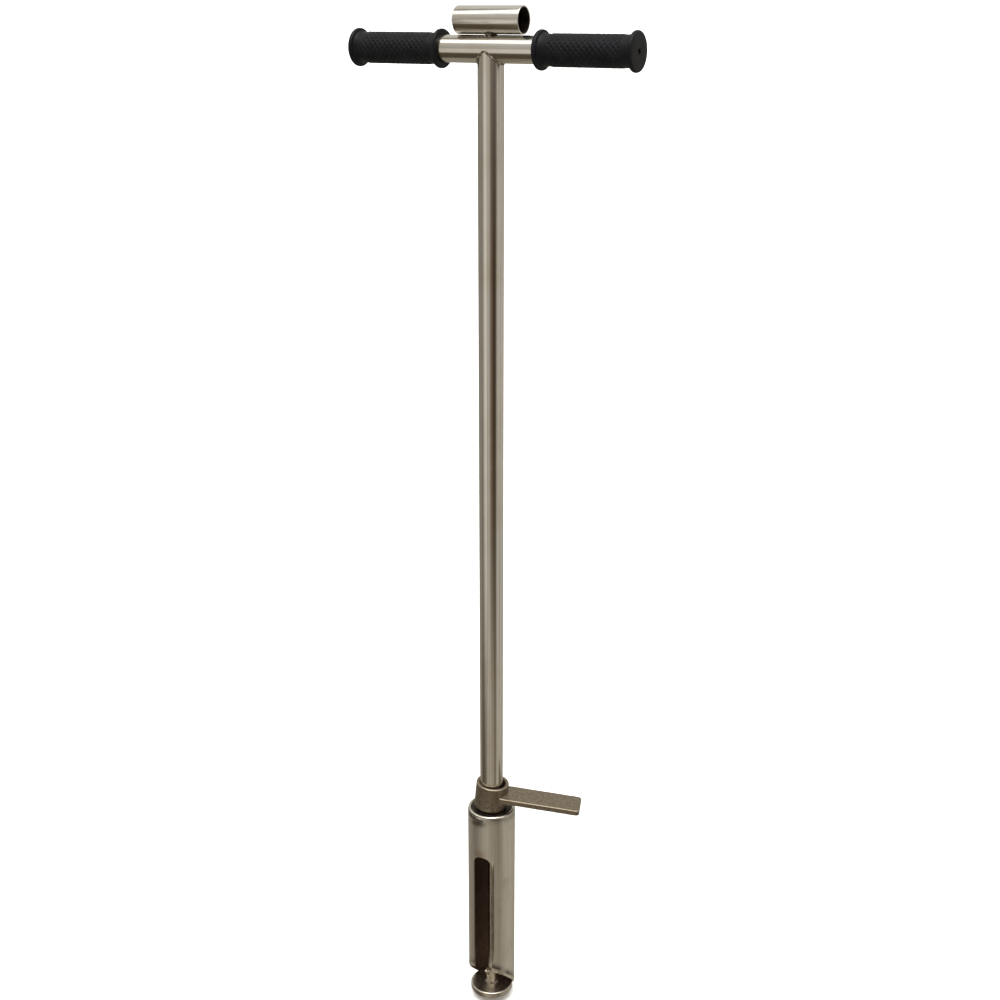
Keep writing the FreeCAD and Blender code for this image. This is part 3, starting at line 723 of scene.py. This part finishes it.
def makeBarrelMaterial():
    # satin stainless tube, belt-ground up and down, with stains and a heat spot above the window
    material, tree, place = newMaterial("satinStainlessBarrel")
    square = addNode(tree, "ShaderNodeMapping",
                     {"vector_type": "POINT", "Vector": place,
                      "Rotation": (0, 0, math.radians(-barrel["turn"]))})
    parts = addNode(tree, "ShaderNodeSeparateXYZ", {"Vector": square})
    stretched = addNode(tree, "ShaderNodeMapping", {"Vector": place, "Scale": (520, 520, 6)})
    stripes = addNode(tree, "ShaderNodeTexNoise",
                      {"Vector": stretched, "Scale": 1.0, "Detail": 5, "Roughness": 0.6})
    tone = setRamp(addNode(tree, "ShaderNodeValToRGB", {"Fac": stripes}),
                   [(0.30, barrel["colour"]), (0.70, barrel["light"])])
    cloud = addNode(tree, "ShaderNodeTexNoise",
                    {"Vector": place, "Scale": 34, "Detail": 5, "Roughness": 0.6})
    cloudMask = addNode(tree, "ShaderNodeMapRange",
                        {"Value": cloud, "From Min": 0.50, "From Max": 0.75, "To Max": 0.5})
    clouded = addNode(tree, "ShaderNodeMix",
                      {"data_type": "RGBA", 0: cloudMask, 6: tone, 7: linearColour(barrel["stain"])})
    # straw heat spot just above the arch
    spot = addNode(tree, "ShaderNodeVectorMath",
                   {"operation": "DISTANCE", 0: square, 1: barrel["heatSpot"]})
    spotMask = addNode(tree, "ShaderNodeMapRange",
                       {"interpolation_type": "SMOOTHSTEP", "Value": spot.outputs["Value"],
                        "From Min": 0.001, "From Max": 0.011, "To Min": 0.75, "To Max": 0.0})
    spotBreak = addNode(tree, "ShaderNodeMath", {"operation": "MULTIPLY", 0: spotMask, 1: cloud})
    tinted = addNode(tree, "ShaderNodeMix",
                     {"data_type": "RGBA", 0: spotBreak, 6: clouded.outputs[2],
                      7: linearColour(barrel["tint"])})
    # soot left below the welded rim, strongest at one place that is longer round the rim than down
    # the wall, and a smudge above the mouth's ground edge
    squashed = addNode(tree, "ShaderNodeMapping", {"Vector": place, "Scale": (0.6, 0.6, 1)})
    sootAndPaintedShade = addNode(tree, "ShaderNodeVectorMath",
                   {"operation": "DISTANCE", 0: squashed, 1: barrel["sootSpot"]})
    sootMask = addNode(tree, "ShaderNodeMapRange",
                       {"interpolation_type": "SMOOTHSTEP", "Value": sootAndPaintedShade.outputs["Value"],
                        "From Min": 0.004, "From Max": 0.013, "To Min": 1.0, "To Max": 0.0})
    band = addNode(tree, "ShaderNodeMapRange",
                   {"interpolation_type": "SMOOTHSTEP", "Value": parts.outputs["Z"], "From Min": 0.2410,
                    "From Max": 0.2500, "To Max": 0.45})
    smoke = addNode(tree, "ShaderNodeMath", {"operation": "MAXIMUM", 0: sootMask, 1: band})
    across = addNode(tree, "ShaderNodeMath",
                     {"operation": "SUBTRACT", 0: barrel["radius"] * mm, 1: parts.outputs["Y"]})
    aboveMouth = addNode(tree, "ShaderNodeMath",
                         {"operation": "SUBTRACT", 0: parts.outputs["Z"], 1: across})
    smudge = addNode(tree, "ShaderNodeMapRange",
                     {"interpolation_type": "SMOOTHSTEP", "Value": aboveMouth, "From Min": 0.0045,
                      "From Max": 0.0145, "To Min": 0.9, "To Max": 0.0})
    ground = addNode(tree, "ShaderNodeMapRange",
                     {"Value": aboveMouth, "From Min": 0.0030, "From Max": 0.0055})
    smudged = addNode(tree, "ShaderNodeMath", {"operation": "MULTIPLY", 0: smudge, 1: ground})
    marks = addNode(tree, "ShaderNodeMath", {"operation": "MAXIMUM", 0: smoke, 1: smudged})
    patchy = addNode(tree, "ShaderNodeTexNoise",
                     {"Vector": place, "Scale": 60, "Detail": 4, "Roughness": 0.5})
    patchMask = addNode(tree, "ShaderNodeMapRange",
                        {"interpolation_type": "SMOOTHSTEP", "Value": patchy, "From Min": 0.26,
                         "From Max": 0.54})
    marked = addNode(tree, "ShaderNodeMath", {"operation": "MULTIPLY", 0: marks, 1: patchMask})
    sooty = addNode(tree, "ShaderNodeMix",
                    {"data_type": "RGBA", 0: marked, 6: tinted.outputs[2],
                     7: linearColour(barrel["smoke"])})
    # painted shadow: a thin dark line coloured along the burr beside the window's bevel
    line = addNode(tree, "ShaderNodeAttribute", {"attribute_name": "paintedBurrShadow"}).outputs["Fac"]
    colour = addNode(tree, "ShaderNodeMix",
                     {"data_type": "RGBA", 0: line, 6: sooty.outputs[2], 7: linearColour(barrel["line"])})
    rough = addNode(tree, "ShaderNodeMapRange",
                    {"Value": cloud, "From Min": 0.3, "From Max": 0.7, "To Min": barrel["roughness"] * 0.8,
                     "To Max": barrel["roughness"] * 1.3})
    fine = addNode(tree, "ShaderNodeTexNoise", {"Vector": stretched, "Scale": 3.0, "Detail": 2})
    bump = addNode(tree, "ShaderNodeBump", {"Height": fine, "Distance": 0.012 * mm, "Strength": 0.6})
    shader = addNode(tree, "ShaderNodeBsdfPrincipled",
                     {"Base Color": colour.outputs[2], "Metallic": 1.0, "Roughness": rough, "Normal": bump})
    addNode(tree, "ShaderNodeOutputMaterial", {"Surface": shader})
    return material


barrelSteel = makeBarrelMaterial()


def makeBarrel():
    points, faces = makeBarrelShell()
    piece = newPiece("barrelTube", points, faces, barrelSteel, 24)
    piece.data.materials.append(boreSteel)
    piece.data.materials.append(groundSteel)
    turnBack = Matrix.Rotation(math.radians(-barrel["turn"]), 4, "Z")
    for face in piece.data.polygons:
        middle = turnBack @ face.center / mm
        reach = math.hypot(middle.x, middle.y)
        edge = barrel["radius"] - middle.y
        if reach < barrel["bore"] + 0.1:
            face.material_index = 1
        elif reach < barrel["radius"] - 0.06 and middle.z < barrel["top"] - 1:
            face.material_index = 2
        elif middle.z - edge < barrel["mouthBevel"] * 0.9 and middle.z < barrel["mouthTop"]:
            face.material_index = 2
    # marks the painted shadow line along the burr
    line = []
    for vertex in piece.data.vertices:
        spot = turnBack @ vertex.co / mm
        angle = math.atan2(spot.x, -spot.y) - math.asin(windowSide(spot.z) / barrel["radius"])
        onBurr = abs(angle * barrel["radius"] - barrel["bevelWidth"] - 0.15) < 0.45
        straightTop = barrel["windowTop"] - barrel["windowCorner"]
        outside = math.hypot(spot.x, spot.y) > barrel["bore"] + 0.5
        line.append(0.9 if onBurr and outside and barrel["burrFoot"] < spot.z < straightTop else 0.0)
    paintedBurrShadow = piece.data.attributes.new("paintedBurrShadow", "FLOAT", "POINT")
    paintedBurrShadow.data.foreach_set("value", line)
    joinBody(piece, "root", "sample_barrel")


makeBarrel()
print("barrel made")

# the welded and ground rim round the cap
rim = {"outer": 26.0, "height": 1.5, "wave": 0.7}


def makeRim():
    outline = [Vector(p) for p in ((22.6, -0.05), (25.95, -0.05), (25.86, 0.30), (25.65, 0.65), (25.30, 1.0),
                                   (24.85, 1.28), (24.3, 1.42), (23.7, 1.30), (23.2, 0.9), (22.8, 0.4))]

    def wobble(angle, radius, height):
        spot = Vector((math.cos(angle) * 1.6, math.sin(angle) * 1.6, 0.4))
        lump = noise.noise(spot) + noise.noise(spot * 2.7) * 0.35
        inward = min(max((rim["outer"] - radius) / 4, 0), 1)
        if height < 0:
            return radius + lump * rim["wave"] * inward, height
        return radius + lump * rim["wave"] * inward, height * (1 + lump * 0.25)

    points, faces = turnedShell(outline, 220, wobble)
    placed = [(p + Vector((0, 0, capTop))) * mm for p in points]
    for p in placed:
        p.z = min(p.z, (capTop + rim["height"]) * mm)
    piece = newPiece("capRim", placed, faces, groundSteel, 60)
    joinBody(piece, "root", "barrel_cap_weld")


makeRim()
print("cap rim made")

# the cast foot pedal, a loose collar with a flat plate
pedal = {
    "bore": 14.45,
    "topRadius": 18.25,
    "bottomRadius": 18.05,
    "height": 29.8,
    "plateReach": 100,
    "plateHalf": 15.5,
    "plateLow": -2.05,
    "plateHigh": 3.95,
    "plateCorner": 4,
    "turn": 23,
    "tilt": 5.56,
    "centre": 268.89,
    "grain": 0.5,
    "smoothing": 7,
    "colour": "#887D6C",
    "pit": "#6C6151",
    # edge colour: rubbed edges with painted highlight
    "edge": "#B9AD9B",
    "roughness": 0.46,
}


def pedalSolid():
    half = pedal["height"] / 2
    collar = roundedOutline([(pedal["bore"], -half, 0.5), (pedal["bottomRadius"], -half, 0.9),
                             (pedal["topRadius"], half, 0.9), (pedal["bore"], half, 0.7)], 3)
    points, faces = turnedShell(collar, 96)
    ring = (pedal["bore"] + pedal["topRadius"]) / 2
    reach, width, corner = pedal["plateReach"], pedal["plateHalf"], pedal["plateCorner"]
    rootAngle = math.asin(width / (ring + 0.3))
    outline = []
    for i in range(25):
        angle = rootAngle - 2 * rootAngle * i / 24
        outline.append((ring * math.cos(angle), width * math.sin(angle) / math.sin(rootAngle)))
    for centreY, first in ((-width + corner, -90), (width - corner, 0)):
        for i in range(9):
            angle = math.radians(first + 90 * i / 8)
            outline.append((reach - corner + corner * math.cos(angle), centreY + corner * math.sin(angle)))
    start = len(points)
    count = len(outline)
    for height in (pedal["plateLow"], pedal["plateHigh"]):
        points += [Vector((x, y, height)) for x, y in outline]
    faces.append(tuple(start + i for i in range(count)))
    faces.append(tuple(start + count + i for i in reversed(range(count))))
    for i in range(count):
        j = (i + 1) % count
        faces.append((start + i, start + count + i, start + count + j, start + j))
    return points, faces


def makeCastMaterial():
    # sand-cast stainless, shot-blasted and tumbled: warm grey skin, brighter on the edges, partly from
    # rubbing and partly as painted highlight, most on the top edges
    material, tree, place = newMaterial("sandCastStainless")
    skin = addNode(tree, "ShaderNodeTexNoise",
                   {"Vector": place, "Scale": 300, "Detail": 6, "Roughness": 0.6})
    tone = setRamp(addNode(tree, "ShaderNodeValToRGB", {"Fac": skin}),
                   [(0.30, pedal["pit"]), (0.58, pedal["colour"])])
    wearAndPaintedHighlight = addNode(tree, "ShaderNodeAttribute", {"attribute_name": "wearAndPaintedHighlight"}).outputs["Fac"]
    colour = addNode(tree, "ShaderNodeMix",
                     {"data_type": "RGBA", 0: wearAndPaintedHighlight, 6: tone, 7: linearColour(pedal["edge"])})
    rough = addNode(tree, "ShaderNodeMapRange",
                    {"Value": wearAndPaintedHighlight, "To Min": pedal["roughness"], "To Max": 0.24})
    bump = addNode(tree, "ShaderNodeBump", {"Height": skin, "Distance": 0.09 * mm, "Strength": 0.55})
    shader = addNode(tree, "ShaderNodeBsdfPrincipled",
                     {"Base Color": colour.outputs[2], "Metallic": 1.0, "Roughness": rough, "Normal": bump})
    addNode(tree, "ShaderNodeOutputMaterial", {"Surface": shader})
    return material


castSteel = makeCastMaterial()


def makePedal():
    points, faces = pedalSolid()
    piece = newPiece("castPedal", points, faces, castSteel, 60)
    fuse = piece.modifiers.new("fuse", "REMESH")
    fuse.mode = "VOXEL"
    fuse.voxel_size = pedal["grain"]
    soften = piece.modifiers.new("soften", "SMOOTH")
    soften.iterations = pedal["smoothing"]
    soften.factor = 0.5
    mesh = bakedMesh(piece)
    piece.modifiers.clear()
    piece.data = mesh
    parting = (pedal["plateLow"] + pedal["plateHigh"]) / 2
    half = pedal["height"] / 2
    facings = [vertex.normal.copy() for vertex in mesh.vertices]
    spots, edgeWearAndHighlight = [], []
    for vertex, facing in zip(mesh.vertices, facings):
        spot = vertex.co.copy()
        reach = math.hypot(spot.x, spot.y)
        if reach < pedal["bore"] + 0.45 and abs(spot.z) < half - 1.2:
            spot.x, spot.y = spot.x * pedal["bore"] / reach, spot.y * pedal["bore"] / reach
        elif reach > pedal["bore"] + 0.45:
            swell = noise.noise(spot * 0.22) * 0.10 + noise.noise(spot * 0.9) * 0.03
            if abs(facing.z) < 0.5:
                swell += 0.16 * math.exp(-((spot.z - parting) / 0.55) ** 2)
            spot += facing * swell
        # edges get a brighter colour, stronger near the top: wear with painted highlight
        flatness = max(abs(facing.z), math.hypot(facing.x, facing.y))
        onEdge = max(0.0, 1 - (flatness - 0.70) / 0.22)
        nearTop = spot.z > half - 2.2 or (reach > 19 and spot.z > parting)
        edgeWearAndHighlight.append(min(1.0, onEdge * (0.6 if nearTop else 0.25)))
        spots.extend(spot)
    mesh.vertices.foreach_set("co", spots)
    wearAndPaintedHighlight = mesh.attributes.new("wearAndPaintedHighlight", "FLOAT", "POINT")
    wearAndPaintedHighlight.data.foreach_set("value", edgeWearAndHighlight)
    mesh.transform(Matrix.Scale(mm, 4))
    tilt = Matrix.Rotation(math.radians(pedal["tilt"]), 4, "Y")
    turn = Matrix.Rotation(math.radians(pedal["turn"]), 4, "Z")
    mesh.transform(Matrix.Translation((0, 0, pedal["centre"] * mm)) @ turn @ tilt)
    mesh.polygons.foreach_set("use_smooth", [True] * len(mesh.polygons))
    mesh.update()
    joinBody(piece, "pedal", "foot_pedal")


makePedal()
print("cast pedal made")

# the ejector disc, turned, with rounded edges
disc = {"radius": 24.1, "topRounding": 1.7, "footRounding": 1.2}


def makeDisc():
    low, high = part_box("ejector_disc")
    foot, top = low.z / mm, high.z / mm
    corners = [(0, foot, 0), (disc["radius"], foot, disc["footRounding"]),
               (disc["radius"], top, disc["topRounding"]), (0, top, 0)]
    points, faces = turnedShell(roundedOutline(corners, 6), 160)
    piece = newPiece("ejectorDisc", [p * mm for p in points], faces, turnedSteel, 50)
    joinBody(piece, "ejector", "ejector_disc")


makeDisc()
print("ejector disc made")

# pieces whose shape is right already get their finish
finishes = {
    "crossbar_tube": (levelTubeSteel, "stainless_tube"),
    "shaft_tube": (uprightTubeSteel, "stainless_tube"),
    # the cap top is painted near black: painted shade and the collar's dark reflection
    "barrel_cap": (paintedShadeSteel, "stainless_barrel"),
    "upper_guide_bush": (nylon, "bush_plastic"),
    "lower_guide_bush": (nylon, "bush_plastic"),
    "push_rod": (turnedSteel, "turned_steel"),
    "bayonet_pin": (turnedSteel, "turned_steel"),
    "disc_socket": (turnedSteel, "turned_steel"),
}
for name, (material, slot) in finishes.items():
    cadNodes[name].data.materials.clear()
    cadNodes[name].data.materials.append(material)
print("finishes given")

# pale floor, one broad overhead light and the room that the steel mirrors
studio = {
    "floor": "#F4F4F2",
    "backdrop": "#F6F6F5",
    "floorSize": 300,
    "overhead": 3.3,
    "overheadSpread": 44,
    "room": 1.15,
    "strip": 2.6,
}


def makeFloor():
    mesh = bpy.data.meshes.new("floor")
    half = studio["floorSize"] / 2
    mesh.from_pydata([(-half, -half, 0), (half, -half, 0), (half, half, 0), (-half, half, 0)], [],
                     [(0, 1, 2, 3)])
    material, tree = newMaterial("paleFloorPaper")[:2]
    shader = addNode(tree, "ShaderNodeBsdfDiffuse", {"Color": linearColour(studio["floor"])})
    addNode(tree, "ShaderNodeOutputMaterial", {"Surface": shader})
    mesh.materials.append(material)
    floor = newObject("floor", mesh)
    floor.visible_glossy = False


def addOverhead():
    # one broad soft light from above, the same over the whole floor
    data = bpy.data.lights.new("overhead", "SUN")
    data.energy = studio["overhead"]
    data.angle = math.radians(studio["overheadSpread"])
    light = newObject("overhead", data)
    light.matrix_world = Vector((0.10, -0.16, 1)).to_track_quat("Z", "Y").to_matrix().to_4x4()


def makeRoom():
    # brightness of the room by compass direction, then by height
    world = bpy.data.worlds.new("studioRoom")
    bpy.context.scene.world = world
    world.use_nodes = True
    tree = world.node_tree
    tree.nodes.clear()
    way = addNode(tree, "ShaderNodeTexCoord").outputs["Generated"]
    parts = addNode(tree, "ShaderNodeSeparateXYZ", {"Vector": way})
    minusY = addNode(tree, "ShaderNodeMath", {"operation": "MULTIPLY", 0: parts.outputs["Y"], 1: -1})
    compass = addNode(tree, "ShaderNodeMath", {"operation": "ARCTAN2", 0: parts.outputs["X"], 1: minusY})
    share = addNode(tree, "ShaderNodeMapRange",
                    {"Value": compass, "From Min": -math.pi, "From Max": math.pi})
    walls = setRamp(addNode(tree, "ShaderNodeValToRGB", {"Fac": share}),
                    [(0.00, "#A5A29B"), (0.20, "#8F8B83"), (0.385, "#8F8B83"), (0.405, "#E4E0D8"),
                     (0.45, "#E4E0D8"), (0.475, "#BDB9B0"), (0.535, "#B5B1A8"), (0.565, "#7C6F60"),
                     (0.615, "#5F4E3D"), (0.64, "#3E2D20"), (0.695, "#3E2D20"), (0.735, "#B9B5AC"),
                     (0.90, "#C4C0B8"), (1.00, "#A5A29B")])
    ground = setRamp(addNode(tree, "ShaderNodeValToRGB", {"Fac": share}),
                     [(0.00, "#9A9488"), (0.27, "#9A9488"), (0.315, "#51463A"), (0.43, "#5A5040"),
                      (0.50, "#BFB9AC"), (0.56, "#BFB9AC"), (0.59, "#A39B8C"), (0.64, "#B2AA9A"),
                      (0.69, "#6A6050"), (0.74, "#B8B2A6"), (0.90, "#B8B2A6"), (1.00, "#9A9488")])
    # overhead, the brightness goes by the angle round the crossbar's direction
    wheel = addNode(tree, "ShaderNodeMath", {"operation": "ARCTAN2", 0: parts.outputs["Z"], 1: minusY})
    lift = addNode(tree, "ShaderNodeMapRange", {"Value": wheel, "From Max": math.pi})
    ceiling = setRamp(addNode(tree, "ShaderNodeValToRGB", {"Fac": lift}),
                      [(0.00, "#AEAAA2"), (0.20, "#C6C4BE"), (0.27, "#C6C4BE"), (0.30, "#FFFFFF"),
                       (0.42, "#FFFFFF"), (0.46, "#C6C4BE"), (0.49, "#77736C"), (0.53, "#77736C"),
                       (0.56, "#D5D3CD"), (0.80, "#D5D3CD"), (1.00, "#AEAAA2")])
    upper = addNode(tree, "ShaderNodeMapRange",
                    {"interpolation_type": "SMOOTHSTEP", "Value": parts.outputs["Z"], "From Min": -0.04,
                     "From Max": 0.06})
    room = addNode(tree, "ShaderNodeMix", {"data_type": "RGBA", 0: upper, 6: walls, 7: ceiling})
    lower = addNode(tree, "ShaderNodeMapRange",
                    {"interpolation_type": "SMOOTHSTEP", "Value": parts.outputs["Z"], "From Min": -0.36,
                     "From Max": -0.50})
    whole = addNode(tree, "ShaderNodeMix", {"data_type": "RGBA", 0: lower, 6: room.outputs[2], 7: ground})
    # a long strip light stands in the bright part of the ceiling
    strip = setRamp(addNode(tree, "ShaderNodeValToRGB", {"Fac": lift}),
                    [(0.26, "#000000"), (0.31, "#FFFFFF"), (0.41, "#FFFFFF"), (0.45, "#000000")])
    strength = addNode(tree, "ShaderNodeMapRange",
                       {"Value": strip, "To Min": studio["room"], "To Max": studio["strip"]})
    seen = addNode(tree, "ShaderNodeLightPath").outputs["Is Camera Ray"]
    shown = addNode(tree, "ShaderNodeMix",
                    {"data_type": "RGBA", 0: seen, 6: whole.outputs[2],
                     7: linearColour(studio["backdrop"])})
    light = addNode(tree, "ShaderNodeBackground", {"Color": shown.outputs[2], "Strength": strength})
    addNode(tree, "ShaderNodeOutputWorld", {"Surface": light})


makeFloor()
makeRoom()
addOverhead()
bpy.context.scene.view_settings.view_transform = "Standard"
print("studio lit")
